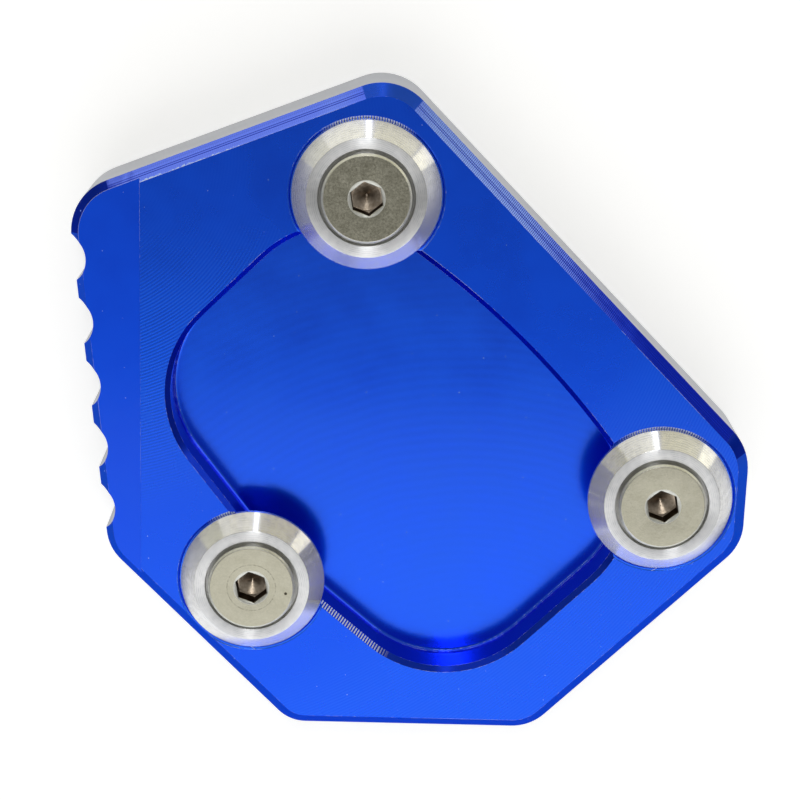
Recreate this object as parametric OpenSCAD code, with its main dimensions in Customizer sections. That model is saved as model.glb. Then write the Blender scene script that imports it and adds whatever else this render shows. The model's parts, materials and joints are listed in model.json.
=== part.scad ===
// Foot enlarger for a motorcycle side stand: a milled aluminium plate with a pocket for
// the stand's own foot, held there by three bevelled clamp washers and countersunk screws.
// The underside rests on the ground at z = 0. X points right and Y up in plan view.

/* [Plate outline] */
// Length of the plate along X
plate_x = 93.1; // [90:0.1:104]
// Length of the plate along Y
plate_y = 91.2; // [88:0.1:102]
// How far the upper right edge cuts into that rectangle, square to the edge
cut_upper_right = 34.5; // [31:0.05:36]
// How far the upper left edge cuts in
cut_upper_left = 14.75; // [12:0.05:16]
// How far the scalloped left edge cuts in
cut_left = 7.4; // [4.5:0.05:8.5]
// How far the lower left edge cuts in
cut_lower_left = 21.45; // [18.5:0.05:21.7]
// How far the lower right edge cuts in
cut_lower_right = 20.05; // [17.5:0.05:22]
// Rise of the upper left edge, in degrees from the X axis
lean_upper_left = 21.8; // [18:0.1:24]
// Lean of the scalloped left edge, in degrees from the Y axis
lean_left = 6; // [4:0.1:8]
// Radius of the corner between the right and upper right edges
corner_right = 8.2; // [5:0.1:10]
// Radius of the top corner
corner_top = 7.5; // [5:0.1:10]
// Radius of the upper left corner
corner_upper_left = 7.5; // [5:0.1:8]
// Radius of the lower left corner
corner_left = 6.7; // [5:0.1:8]
// Radius of the corner between the lower left and bottom edges
corner_bottom_left = 5.4; // [4:0.1:8]
// Radius of the corner between the bottom and lower right edges
corner_bottom_right = 6.6; // [4:0.1:8]
// Radius of the corner between the lower right and right edges
corner_lower_right = 6.9; // [4:0.1:8]

/* [Plate section] */
// Thickness of the plate
plate_thick = 13; // [11:0.1:15]
// Chamfer round the top of the plate
top_chamfer = 1.6; // [1:0.1:2]
// Chamfer round the underside of the plate
foot_chamfer = 0.6; // [0.3:0.1:1]
// Depth by which the ledge along the scalloped edge is milled down
ledge_depth = 0.5; // [0.2:0.05:1]
// Width of that ledge, from the leftmost end of the plate
ledge_width = 9.4; // [8:0.05:10.5]

/* [Scallops] */
// Radius of the cutter that mills each scallop
scallop_radius = 3.8; // [3.4:0.1:4.2]
// Depth of each scallop into the left edge
scallop_depth = 1.7; // [1.2:0.05:2]
// Distance from one scallop to the next
scallop_pitch = 8.8; // [8:0.05:9]
// Distance from the upper left corner to the first scallop
scallop_start = 8.4; // [8:0.1:9]
// Number of scallops
scallop_count = 5; // [3:1:5]

/* [Pocket] */
// Depth of the pocket below the top face
pocket_depth = 6; // [4:0.1:7.5]
// Chamfer round the pocket's rim
rim_chamfer = 0.7; // [0.4:0.05:0.9]
// Radius of the fillet between the pocket's wall and floor
floor_fillet = 0.5; // [0.2:0.05:1]
// Distance from the origin to the pocket wall's right stretch
pocket_right = 19.35; // [18.95:0.05:19.8]
// Distance from the origin to the pocket wall's upper right stretch
pocket_upper_right = 18.85; // [18.45:0.05:19.2]
// Distance from the origin to the pocket wall's upper left stretch
pocket_upper_left = 30.15; // [29:0.05:31]
// Distance from the origin to the pocket wall's left stretch
pocket_left = 27.55; // [26.8:0.05:28]
// Distance from the origin to the pocket wall's lower left stretch
pocket_lower_left = 28.05; // [27.2:0.05:28.4]
// Distance from the origin to the pocket wall's lower right stretch
pocket_lower_right = 33.7; // [32.9:0.05:34.2]
// Radius of the bowed wall between the right and upper right stretches
pocket_bow = 121; // [110:1:126]
// Radius of the pocket's round corners
pocket_corner = 15.3; // [13:0.1:16]
// Direction that the right stretch faces, in degrees from the X axis
pocket_right_facing = 38.7; // [37.5:0.1:40]
// Direction that the upper right stretch faces, in degrees from the X axis
pocket_upper_right_facing = 54.8; // [54:0.1:55.8]
// Direction that the left stretch faces, in degrees from the X axis
pocket_left_facing = 217.5; // [214:0.1:219]
// Direction that the lower left stretch faces, in degrees from the X axis
pocket_lower_left_facing = 230; // [228:0.1:232]

/* [Clamp washers] */
// Outer radius of a washer
washer_radius = 10; // [9.2:0.05:10.05]
// Height of a washer
washer_height = 2.9; // [2.6:0.1:3.6]
// Height of the washer's straight edge below its bevel
washer_lip = 0.6; // [0.4:0.1:1.2]
// Radius of the flat ring on top of the washer
washer_flat_radius = 7.95; // [7.2:0.05:8.6]
// Height of the straight hole below the cone that the screw head sits in
hole_land = 0.35; // [0.2:0.05:0.8]
// Gap between the screw head and the recess it sinks into
head_gap = 0.45; // [0.2:0.05:0.7]
// Depth of the recess round the screw head
recess_depth = 1; // [0.6:0.1:1.4]
// Depth of the round seat milled into the plate for each washer
seat_depth = 0.5; // [0.3:0.05:0.9]
// Gap between a washer and the wall of its seat
seat_gap = 0.15; // [0.1:0.05:0.3]
// Chamfer round the mouth of each washer seat
seat_chamfer = 0.35; // [0.1:0.05:0.45]

/* [Clamp screws] */
// Radius of the screw's shank, for a standard 6 mm thread
screw_radius = 3; // [2.5:0.05:3.2]
// Radius of the screw's countersunk head
head_radius = 6; // [5.4:0.05:6.3]
// Height of the straight edge above the head's cone
head_land = 0.5; // [0.3:0.05:0.8]
// Rounding chamfer on the head's upper edge
head_edge = 0.2; // [0.1:0.05:0.3]
// Overall length of the screw
screw_length = 15; // [12:0.5:15.5]
// Chamfer at the screw's tip
tip_chamfer = 0.8; // [0.3:0.1:1]
// Width across the flats of the hexagon socket
socket_width = 4; // [3:0.1:5]
// Depth of the hexagon socket
socket_depth = 2.4; // [1.8:0.1:2.6]
// Radius of the countersink at the socket's mouth
socket_mouth = 2.5; // [2.45:0.05:3]
// Turn of the sockets about their screws, in degrees
socket_turn = 40; // [0:1:60]
// Clearance between the shank and the threaded hole in the plate
thread_gap = 0.05; // [0.02:0.01:0.1]
// Clearance between the shank and the washer's hole
washer_hole_gap = 0.2; // [0.1:0.05:0.4]
// Countersink of each threaded hole at the underside
hole_chamfer = 0.5; // [0.2:0.05:0.8]

/* [Screw places] */
// Top screw, X
screw_top_x = -7.15; // [-7.6:0.05:-6.6]
// Top screw, Y
screw_top_y = 30.95; // [30.5:0.05:31.3]
// Right screw, X
screw_right_x = 34.4; // [34:0.05:34.8]
// Right screw, Y
screw_right_y = -10.4; // [-11:0.05:-10]
// Left screw, X
screw_left_x = -21.65; // [-22:0.05:-21.2]
// Left screw, Y
screw_left_y = -23.65; // [-24:0.05:-23.2]

/* [Hidden] */
$fn = 96;

// How far a cutter reaches past the face that it cuts
past = 1;
// The most that one flat step of a round corner turns, in degrees, and its greatest length
step_angle = 5;
step_length = 2;
// How far each flat step of the pocket's floor fillet turns, in degrees
fillet_step = 30;

function normal(angle) = [cos(angle), sin(angle)];

// How far the corner of the plate's rectangle reaches in one direction
half_x = plate_x / 2;
half_y = plate_y / 2;
function reach(angle) = half_x * abs(cos(angle)) + half_y * abs(sin(angle));

// An outline is a list of straight stretches in order round the part. Each has the
// direction of its outward normal, its distance from the origin, and the radius of
// the corner that follows it.
function cut_stretch(angle, cut, corner) = [angle, reach(angle) - cut, corner];
upper_left_stretch = cut_stretch(90 + lean_upper_left, cut_upper_left, corner_upper_left);
left_stretch = cut_stretch(180 + lean_left, cut_left, corner_left);
plate_outline = [
    cut_stretch(0, 0, corner_right),
    cut_stretch(45, cut_upper_right, corner_top),
    upper_left_stretch,
    left_stretch,
    cut_stretch(225, cut_lower_left, corner_bottom_left),
    cut_stretch(270, 0, corner_bottom_right),
    cut_stretch(315, cut_lower_right, corner_lower_right)
];

// The pocket follows the stand's foot: four round corners, a bowed right wall and a
// slight bend in the left one, which lies under a washer.
pocket_outline = [
    [pocket_right_facing, pocket_right, pocket_bow],
    [pocket_upper_right_facing, pocket_upper_right, pocket_corner],
    [135, pocket_upper_left, pocket_corner],
    [pocket_left_facing, pocket_left, pocket_corner],
    [pocket_lower_left_facing, pocket_lower_left, pocket_corner],
    [315, pocket_lower_right, pocket_corner]
];

screw_top = [screw_top_x, screw_top_y];
screw_right = [screw_right_x, screw_right_y];
screw_left = [screw_left_x, screw_left_y];
screw_places = [screw_top, screw_right, screw_left];

ledge_z = plate_thick - ledge_depth;
floor_z = plate_thick - pocket_depth;
seat_z = plate_thick - seat_depth;
washer_hole = screw_radius + washer_hole_gap;
thread_hole = screw_radius + thread_gap;
// The head's cone is as high as it is wide, and rests on the washer's cone
head_cone = head_radius - screw_radius;
head_top_z = seat_z + hole_land + head_radius - washer_hole + head_land;
socket_corner = socket_width / 2 / cos(30);
shade_blue = [0.10, 0.25, 0.85];
shade_washer = [0.80, 0.80, 0.78];
shade_screw = [0.66, 0.65, 0.58];

function next(i, list) = (i + 1) % len(list);
function cross_z(a, b) = a[0] * b[1] - a[1] * b[0];

// The point where two stretches would meet if their corner were sharp
function sharp_corner(a, b) =
    let (na = normal(a[0]), nb = normal(b[0]))
    [a[1] * nb[1] - b[1] * na[1], na[0] * b[1] - nb[0] * a[1]] / cross_z(na, nb);

// The centre of the round corner after stretch i
function arc_centre(outline, i) =
    let (a = outline[i], b = outline[next(i, outline)])
    let (na = normal(a[0]), nb = normal(b[0]))
    sharp_corner(a, b) - a[2] * (na + nb) / (1 + na * nb);

// The angle through which the outline turns in the corner after stretch i
function turn(outline, i) = (outline[next(i, outline)][0] - outline[i][0] + 360) % 360;

// How many flat steps make that corner round
function corner_steps(outline, i) =
    let (arc_length = turn(outline, i) * PI / 180 * outline[i][2])
    ceil(max(turn(outline, i) / step_angle, arc_length / step_length));

// The points of an outline whose stretches and corners are moved outwards by grow
function ring(outline, grow) = [
    for (i = [0:len(outline) - 1])
        let (steps = corner_steps(outline, i))
        for (k = [0:steps])
            arc_centre(outline, i)
                + (outline[i][2] + grow) * normal(outline[i][0] + turn(outline, i) * k / steps)
];

// A solid through several rings of one outline. Each level is [grow, height], from the
// bottom to the top.
module loft(outline, levels) {
    rings = [for (level = levels) [for (p = ring(outline, level[0])) [p[0], p[1], level[1]]]];
    n = len(rings[0]);
    last = len(levels) - 1;
    sides = [
        for (k = [0:last - 1], j = [0:n - 1])
            let (j2 = (j + 1) % n)
            [k * n + j, (k + 1) * n + j, (k + 1) * n + j2, k * n + j2]
    ];
    polyhedron(
        points = [for (one = rings) each one],
        faces = concat([[for (j = [0:n - 1]) j]], [[for (j = [n - 1:-1:0]) last * n + j]], sides)
    );
}

// The block with its chamfered edges, before anything is cut into it
module chamfered_block() {
    loft(plate_outline, [
        [-foot_chamfer, 0],
        [0, foot_chamfer],
        [0, plate_thick - top_chamfer],
        [-top_chamfer, plate_thick]
    ]);
}

// The pocket's cutter: a rounded foot, an upright wall and a chamfered rim
module pocket_cutter() {
    foot = [
        for (a = [0:fillet_step:90])
            [-floor_fillet * (1 - sin(a)), floor_z + floor_fillet * (1 - cos(a))]
    ];
    rim = [
        [0, plate_thick - rim_chamfer],
        [rim_chamfer + past, plate_thick + past]
    ];
    loft(pocket_outline, concat(foot, rim));
}

// The row of scallops down the left edge, which lets a boot find the stand
module scallops() {
    corner = sharp_corner(upper_left_stretch, left_stretch);
    outwards = normal(left_stretch[0]);
    along = [-outwards[1], outwards[0]];
    for (i = [0:scallop_count - 1])
        translate(corner + along * (scallop_start + i * scallop_pitch)
                  + outwards * (scallop_radius - scallop_depth))
            translate([0, 0, -past])
                cylinder(r = scallop_radius, h = plate_thick + 2 * past);
}

// One turned cutter for a threaded hole, its countersink below and the washer's seat
module screw_cutter() {
    seat_radius = washer_radius + seat_gap;
    rotate_extrude() polygon([
        [0, -past],
        [thread_hole + hole_chamfer + past, -past],
        [thread_hole, hole_chamfer],
        [thread_hole, seat_z],
        [seat_radius, seat_z],
        [seat_radius, plate_thick - seat_chamfer],
        [seat_radius + seat_chamfer + past, plate_thick + past],
        [0, plate_thick + past]
    ]);
}

module plate() {
    color(shade_blue) difference() {
        chamfered_block();
        translate([-half_x - past, -half_y - past, ledge_z])
            cube([ledge_width + past, plate_y + 2 * past, ledge_depth + past]);
        pocket_cutter();
        scallops();
        for (place = screw_places) translate(place) screw_cutter();
    }
}

// A turned washer. Its bevel slopes up to a flat ring, and its hole has a seat for the
// screw head's cone and a recess that the head's edge stands in.
module clamp_washer(place) {
    recess_z = washer_height - recess_depth;
    color(shade_washer) translate([place[0], place[1], seat_z])
        rotate_extrude() polygon([
            [washer_hole, 0],
            [washer_radius, 0],
            [washer_radius, washer_lip],
            [washer_flat_radius, washer_height],
            [head_radius + head_gap, washer_height],
            [head_radius + head_gap, recess_z],
            [washer_hole + recess_z - hole_land, recess_z],
            [washer_hole, hole_land]
        ]);
}

// The hexagon hole, its countersunk mouth and the drill's cone at the bottom
module hexagon_socket() {
    drill_cone = socket_width / 2 * tan(30);
    translate([0, 0, -socket_depth]) rotate([0, 0, socket_turn])
        cylinder(r = socket_corner, h = socket_depth + past, $fn = 6);
    translate([0, 0, -socket_mouth])
        cylinder(r1 = 0, r2 = socket_mouth + past, h = socket_mouth + past);
    translate([0, 0, -socket_depth - drill_cone])
        cylinder(r1 = 0, r2 = socket_width / 2, h = drill_cone);
}

// A countersunk screw with a hexagon socket. The thread is left plain at its outer size.
module clamp_screw(place) {
    color(shade_screw) translate([place[0], place[1], head_top_z])
        difference() {
            rotate_extrude() polygon([
                [0, 0],
                [head_radius - head_edge, 0],
                [head_radius, -head_edge],
                [head_radius, -head_land],
                [screw_radius, -head_land - head_cone],
                [screw_radius, tip_chamfer - screw_length],
                [screw_radius - tip_chamfer, -screw_length],
                [0, -screw_length]
            ]);
            hexagon_socket();
        }
}

module clamp_washer_top() { clamp_washer(screw_top); }
module clamp_washer_right() { clamp_washer(screw_right); }
module clamp_washer_left() { clamp_washer(screw_left); }
module clamp_screw_top() { clamp_screw(screw_top); }
module clamp_screw_right() { clamp_screw(screw_right); }
module clamp_screw_left() { clamp_screw(screw_left); }

plate();
clamp_washer_top();
clamp_washer_right();
clamp_washer_left();
clamp_screw_top();
clamp_screw_right();
clamp_screw_left();
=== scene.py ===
# %% [markdown]
# # A foot enlarger for a motorcycle's side stand
# The real object is a block of aluminium, milled to a seven-sided plate with a pocket in
# its top. The pocket takes the small foot of a motorcycle's side stand, and three bevelled
# washers with countersunk screws clamp it there, so that the stand rests on a wider base.
# This lesson dresses the plain model of it: it takes the solids as a fixed frame, gives
# each surface the finish that its tool left, and rebuilds the turned parts finely.

# %% Load the fixed frame
import json
import math

import bpy
import mathutils
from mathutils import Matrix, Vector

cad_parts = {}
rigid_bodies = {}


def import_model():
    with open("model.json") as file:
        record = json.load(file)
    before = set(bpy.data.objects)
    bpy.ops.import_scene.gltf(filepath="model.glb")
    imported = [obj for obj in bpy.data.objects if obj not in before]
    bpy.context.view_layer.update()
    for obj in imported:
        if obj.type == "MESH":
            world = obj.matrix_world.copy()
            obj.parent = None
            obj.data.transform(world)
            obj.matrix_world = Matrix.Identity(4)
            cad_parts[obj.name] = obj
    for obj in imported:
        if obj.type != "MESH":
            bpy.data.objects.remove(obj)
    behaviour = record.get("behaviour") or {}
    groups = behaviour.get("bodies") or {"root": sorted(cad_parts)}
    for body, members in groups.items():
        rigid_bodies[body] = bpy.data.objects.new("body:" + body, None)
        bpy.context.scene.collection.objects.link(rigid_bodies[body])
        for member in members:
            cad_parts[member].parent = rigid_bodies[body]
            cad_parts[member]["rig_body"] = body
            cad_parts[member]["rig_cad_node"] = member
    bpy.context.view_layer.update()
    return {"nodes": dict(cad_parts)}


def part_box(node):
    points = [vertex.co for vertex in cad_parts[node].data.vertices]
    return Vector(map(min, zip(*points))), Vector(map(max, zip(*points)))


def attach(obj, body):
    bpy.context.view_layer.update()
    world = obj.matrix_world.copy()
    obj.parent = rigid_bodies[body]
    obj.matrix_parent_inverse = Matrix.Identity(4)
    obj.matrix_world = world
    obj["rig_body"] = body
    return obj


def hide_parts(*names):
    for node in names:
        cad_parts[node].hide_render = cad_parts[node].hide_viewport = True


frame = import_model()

MM = 0.001
BODY = "root"
PLATE_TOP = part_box("plate")[1].z
print("pieces in the frame:", ", ".join(sorted(frame["nodes"])))
print("thickness of the plate, mm:", round(PLATE_TOP / MM, 2))

# %% [markdown]
# ## The camera
# The photo was taken from about 29 cm away, almost straight above the plate and a little
# towards its top corner. The camera's axes below are unit vectors, worked out from the
# way that the plate's straight edges and its thickness show. An empty scene has no
# camera, so one is made from data, and a matrix with those axes as columns turns it.

# %% Place the camera
CAMERA_PLACE = mathutils.Vector((-7.01, 78.93, 281.29)) * MM
CAMERA_RIGHT = mathutils.Vector((0.99949, 0.03019, 0.01047))
CAMERA_UP = mathutils.Vector((-0.02618, 0.96165, -0.2730))
SENSOR_WIDTH = 36
FOCAL_LENGTH = 92.33

scene = bpy.context.scene
scene.view_settings.view_transform = "Standard"
camera = bpy.data.objects.new("camera", bpy.data.cameras.new("camera"))
scene.collection.objects.link(camera)
camera.data.sensor_width = SENSOR_WIDTH
camera.data.lens = FOCAL_LENGTH
camera.data.clip_start = 10 * MM
axes = mathutils.Matrix((CAMERA_RIGHT, CAMERA_UP, CAMERA_RIGHT.cross(CAMERA_UP))).transposed()
camera.matrix_world = mathutils.Matrix.Translation(CAMERA_PLACE) @ axes.to_4x4()
scene.camera = camera
print("camera height above the ground, mm:", round(CAMERA_PLACE.z / MM))

# %% [markdown]
# ## Helpers for materials
# Colours are written as the hex values that a painter would pick on a screen. Blender
# counts light linearly, so one function turns such a value into linear light. A second
# small function adds a node to a tree, sets its inputs and properties, and links what is
# given as another node's output. On a Mix node for colours, inputs 6 and 7 are the two
# colours and output 2 is the result.

# %% Colours and nodes
def linear(code):
    """Turns a hex colour such as #1a4fd8 into linear red, green, blue and alpha."""
    def channel(pair):
        value = int(pair, 16) / 255
        return value / 12.92 if value <= 0.04045 else ((value + 0.055) / 1.055) ** 2.4
    return [channel(code[i:i + 2]) for i in (1, 3, 5)] + [1]


def add_node(tree, kind, inputs=None, **settings):
    """Adds a node, sets its properties, and fills its inputs with values or links."""
    node = tree.nodes.new("ShaderNode" + kind)
    for key, value in settings.items():
        setattr(node, key, value)
    for key, value in (inputs or {}).items():
        if isinstance(value, bpy.types.NodeSocket):
            tree.links.new(value, node.inputs[key])
        else:
            node.inputs[key].default_value = value
    return node


def new_material(name):
    """Makes an empty node material and returns it with its tree."""
    material = bpy.data.materials.new(name)
    material.use_nodes = True
    material.node_tree.nodes.clear()
    return material, material.node_tree


def start_finish(name):
    """Makes a material, and returns it with its tree and each point's place on the object."""
    material, tree = new_material(name)
    return material, tree, add_node(tree, "TexCoord").outputs["Object"]

# %% [markdown]
# No real finish is one even colour. A cloudy noise gives most finishes here their
# patches: it mixes two colours that lie close together, and roughness can follow it too.

# %% Patches of two colours
def add_patches(tree, place, size, colours, detail, raggedness=0.5):
    """Noise with patches of that size, and the colour that goes with it from dark to light."""
    noise = add_node(tree, "TexNoise", {
        "Vector": place, "Scale": 1 / size, "Detail": detail, "Roughness": raggedness,
    }).outputs["Fac"]
    mixed = add_node(tree, "Mix", {
        0: noise, 6: linear(colours[0]), 7: linear(colours[1]),
    }, data_type="RGBA").outputs[2]
    return noise, mixed

# %% [markdown]
# Dust and tiny dents are points far apart. A flat Voronoi pattern drops one point in each
# cell, and its random colour decides which cells keep theirs and how large it is.

# %% Dust on a level surface
DUST_RADIUS = 0.08 * MM
DUST_COLOUR = "#8fb0ff"


def add_dust(tree, place, spacing):
    """A mask that is 1 on specks of dust, in under a third of cells of that spacing."""
    cells = add_node(tree, "TexVoronoi", {"Vector": place, "Scale": 1 / spacing}, voronoi_dimensions="2D")
    chance = add_node(tree, "SeparateColor", {0: cells.outputs["Color"]}).outputs[0]
    size = add_node(tree, "MapRange", {
        "Value": chance, "From Min": 0.7, "To Max": DUST_RADIUS / spacing,
    }).outputs["Result"]
    return add_node(tree, "Math", {0: cells.outputs["Distance"], 1: size}, operation="LESS_THAN").outputs[0]

# %% [markdown]
# ## Blue anodised aluminium
# Anodising grows a clear, dyed skin on aluminium, so the metal's own gloss shows through
# the colour. It is made as a metal with a blue base colour under a thin clear coat. The
# top face was milled by a wide cutter that left an arc every 0.42 mm, which is the feed
# for each turn. The Wave texture draws one ring in pi / 10 of its own units, and the
# scale follows from that. The arcs only show where the cutter pressed: at the left, and
# again beyond the right washer.

# %% The milled top face
WAVE_UNIT = math.pi / 10
FEED_PITCH = 0.42 * MM
MILL_CENTRE = (-47.8 * MM, 36 * MM, 0)
COAT = {"Coat Weight": 0.25, "Coat Roughness": 0.12, "Coat IOR": 1.6}
THIN_COAT = {"Coat Weight": 0.03, "Coat IOR": 1.6, "Specular Tint": (0.3, 0.4, 1, 1)}


def add_pressure(tree, place, swing):
    """A mask of where the mill pressed: near its centre, less so high up, and far out."""
    reach = add_node(tree, "VectorMath", {0: swing}, operation="LENGTH").outputs["Value"]
    near = add_node(tree, "MapRange", {
        "Value": reach, "From Min": 54 * MM, "From Max": 38 * MM,
    }).outputs["Result"]
    far = add_node(tree, "MapRange", {
        "Value": reach, "From Min": 80 * MM, "From Max": 88 * MM, "To Max": 0.5,
    }).outputs["Result"]
    upwards = add_node(tree, "SeparateXYZ", {0: place}).outputs["Y"]
    low = add_node(tree, "MapRange", {
        "Value": upwards, "From Min": 28 * MM, "From Max": 16 * MM, "To Min": 0.15,
    }).outputs["Result"]
    return add_node(tree, "Math", {0: near, 1: low, 2: far}, operation="MULTIPLY_ADD").outputs[0]


def make_face_finish():
    """Satin blue with the arcs of the face mill, faint blotches and a little dust."""
    material, tree, place = start_finish("anodised_milled_face")
    swing = add_node(tree, "VectorMath", {0: place, 1: MILL_CENTRE}, operation="SUBTRACT").outputs[0]
    arcs = add_node(tree, "TexWave", {
        "Vector": swing, "Scale": WAVE_UNIT / FEED_PITCH, "Distortion": 0.5, "Detail": 1,
    }, wave_type="RINGS", rings_direction="Z").outputs["Fac"]
    pressure = add_pressure(tree, place, swing)
    lines = add_node(tree, "Math", {0: arcs, 1: pressure}, operation="MULTIPLY").outputs[0]
    patches, plain = add_patches(tree, place, 9 * MM, ("#0650f0", "#0c5af6"), 5, 0.6)
    lined = add_node(tree, "Mix", {0: lines, 6: plain, 7: linear("#2068f8")}, data_type="RGBA")
    dust = add_dust(tree, place, 4 * MM)
    colour = add_node(tree, "Mix", {0: dust, 6: lined.outputs[2], 7: linear(DUST_COLOUR)}, data_type="RGBA")
    rough = add_node(tree, "MapRange", {
        "Value": patches, "From Min": 0.3, "From Max": 0.7, "To Min": 0.25, "To Max": 0.31,
    }).outputs["Result"]
    grain = add_node(tree, "TexNoise", {"Vector": place, "Scale": 1 / (0.25 * MM)}).outputs["Fac"]
    height = add_node(tree, "Math", {0: grain, 1: 0.3, 2: lines}, operation="MULTIPLY_ADD").outputs[0]
    relief = add_node(tree, "Bump", {"Height": height, "Distance": 0.005 * MM}).outputs[0]
    metal = add_node(tree, "BsdfPrincipled", {
        "Base Color": colour.outputs[2], "Metallic": 1, "Roughness": rough, "Normal": relief, **COAT,
    })
    add_node(tree, "OutputMaterial", {"Surface": metal.outputs[0]})
    return material


print("arcs of the face mill, mm apart:", round(FEED_PITCH / MM, 2))

# %% [markdown]
# The ledge beside the scallops was milled with a finer feed, so it has no arcs and looks
# smooth. The short chamfers and the round ones at the corners are smooth too, in darker
# blues, and the navy on the chamfers at the far left and right corners is painted shade.
# One function makes all of these finishes.

# %% The ledge and the smooth chamfers
def make_smooth_finish(name, colours, roughness, blotch, coat=COAT):
    """Smooth blue with cloudy patches of that size, a little dust and fine grain."""
    material, tree, place = start_finish(name)
    patches, plain = add_patches(tree, place, blotch, colours, 5, 0.6)
    dust = add_dust(tree, place, 3 * MM)
    colour = add_node(tree, "Mix", {0: dust, 6: plain, 7: linear(DUST_COLOUR)}, data_type="RGBA")
    rough = add_node(tree, "MapRange", {
        "Value": patches, "From Min": 0.3, "From Max": 0.7, "To Min": roughness, "To Max": roughness + 0.06,
    }).outputs["Result"]
    grain = add_node(tree, "TexNoise", {"Vector": place, "Scale": 1 / (0.3 * MM), "Detail": 3}).outputs["Fac"]
    relief = add_node(tree, "Bump", {"Height": grain, "Distance": 0.002 * MM}).outputs[0]
    metal = add_node(tree, "BsdfPrincipled", {
        "Base Color": colour.outputs[2], "Metallic": 1, "Roughness": rough, "Normal": relief, **coat,
    })
    add_node(tree, "OutputMaterial", {"Surface": metal.outputs[0]})
    return material

# %% [markdown]
# The two long chamfers at the top were cut last, by the side of a small cutter. Their pale
# blue is a painted highlight, with two dark lines along the middle where passes meet, and the
# upper right one has a tick across for each tooth. Both patterns follow the edge, so they read
# a UV map that counts metres along the edge and up it. A colour ramp draws the lines: each
# stop is a place up the chamfer, and how much of the painted highlight the cut has there.

# %% Lines and ticks of the long chamfers
CHAMFER_DEPTH = 1.6 * MM
CHAMFER_TICKS = 0.28 * MM
CHAMFER_LINES = (
    (0.0, 0.6), (0.08, 0.9), (0.2, 0.75), (0.34, 0.95), (0.41, 0.9), (0.435, 0.1), (0.45, 0.1),
    (0.48, 0.85), (0.56, 0.85), (0.585, 0.0), (0.605, 0.0), (0.63, 0.95), (0.8, 0.85), (0.95, 1.0),
)


def add_lines(tree, band):
    """Brightness up the chamfer, from its lines. The band counts from 0 at the foot to 1."""
    ramp = add_node(tree, "ValToRGB", {"Fac": band})
    stops = ramp.color_ramp.elements
    while len(stops) < len(CHAMFER_LINES):
        stops.new(1)
    for stop, (place, grey) in zip(stops, CHAMFER_LINES):
        stop.position = place
        stop.color = (grey, grey, grey, 1)
    return ramp.outputs["Color"]


def add_ticks(tree, run, across):
    """A tick across the chamfer for each tooth, stronger towards the right."""
    ticks = add_node(tree, "TexWave", {
        "Vector": run, "Scale": WAVE_UNIT / CHAMFER_TICKS, "Distortion": 0.6, "Detail": 2,
    }, wave_type="BANDS", bands_direction="X").outputs["Fac"]
    right = add_node(tree, "MapRange", {
        "Value": across, "From Min": -8 * MM, "From Max": 22 * MM, "To Min": 0.1, "To Max": 0.9,
    }).outputs["Result"]
    return add_node(tree, "Math", {0: ticks, 1: right}, operation="MULTIPLY").outputs[0]

# %% [markdown]
# The painted highlight on the long chamfers is a paler blue right of the top corner than left
# of it, and deeper at the corner itself and towards the right. At both far ends it frays out into deep blue.
# At the left the cutter pushed up crumbs of burr along the top, pale and half bare. All
# of these go by the place across the plate, from left to right.

# %% Changes along the long chamfers
CORNER_X = -5.3 * MM


def add_highlight_blue(tree, across):
    """The painted highlight's blue, deeper near the top corner and towards the right one."""
    past_corner = add_node(tree, "MapRange", {
        "Value": across, "From Min": -14 * MM, "From Max": -4 * MM,
    }).outputs["Result"]
    pale = add_node(tree, "Mix", {
        0: past_corner, 6: linear("#6882ff"), 7: linear("#88a6ff"),
    }, data_type="RGBA").outputs[2]
    from_corner = add_node(tree, "Math", {0: across, 1: CORNER_X}, operation="SUBTRACT").outputs[0]
    corner_gap = add_node(tree, "Math", {0: from_corner}, operation="ABSOLUTE").outputs[0]
    near_corner = add_node(tree, "MapRange", {
        "Value": corner_gap, "From Min": 7 * MM, "From Max": 0,
    }).outputs["Result"]
    towards_right = add_node(tree, "MapRange", {
        "Value": across, "From Min": 14 * MM, "From Max": 28 * MM,
    }).outputs["Result"]
    deeper = add_node(tree, "Math", {0: near_corner, 1: towards_right}, operation="MAXIMUM").outputs[0]
    return add_node(tree, "Mix", {
        0: deeper, 6: pale, 7: linear("#3858fa"),
    }, data_type="RGBA").outputs[2]


def add_highlight_fade(tree, run, across):
    """A mask of where the painted highlight is whole. Streaks fray it at its two far ends."""
    streaks = add_node(tree, "TexNoise", {"Vector": run, "Scale": 1 / (3 * MM), "Detail": 4}).outputs["Fac"]
    frayed = add_node(tree, "Math", {
        0: streaks, 1: 16 * MM, 2: across,
    }, operation="MULTIPLY_ADD").outputs[0]
    right_end = add_node(tree, "MapRange", {
        "Value": frayed, "From Min": 40 * MM, "From Max": 26 * MM,
    }).outputs["Result"]
    left_end = add_node(tree, "MapRange", {
        "Value": frayed, "From Min": -34 * MM, "From Max": -30 * MM, "To Min": 0.15,
    }).outputs["Result"]
    return add_node(tree, "Math", {0: right_end, 1: left_end}, operation="MULTIPLY").outputs[0]


def add_burr(tree, place, band, across):
    """A mask of the crumbs of burr along the top of the upper left chamfer."""
    crumbs = add_node(tree, "TexNoise", {
        "Vector": place, "Scale": 1 / (0.7 * MM), "Detail": 3, "Roughness": 0.7,
    }).outputs["Fac"]
    lip = add_node(tree, "MapRange", {
        "Value": band, "From Min": 0.7, "From Max": 1, "To Min": -0.3, "To Max": 0.1,
    }).outputs["Result"]
    left = add_node(tree, "MapRange", {
        "Value": across, "From Min": -14 * MM, "From Max": -26 * MM, "To Min": -0.3, "To Max": 0,
    }).outputs["Result"]
    ragged = add_node(tree, "Math", {0: crumbs, 1: lip}, operation="ADD").outputs[0]
    both = add_node(tree, "Math", {0: ragged, 1: left}, operation="ADD").outputs[0]
    return add_node(tree, "MapRange", {"Value": both, "From Min": 0.53, "From Max": 0.6}).outputs["Result"]

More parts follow.
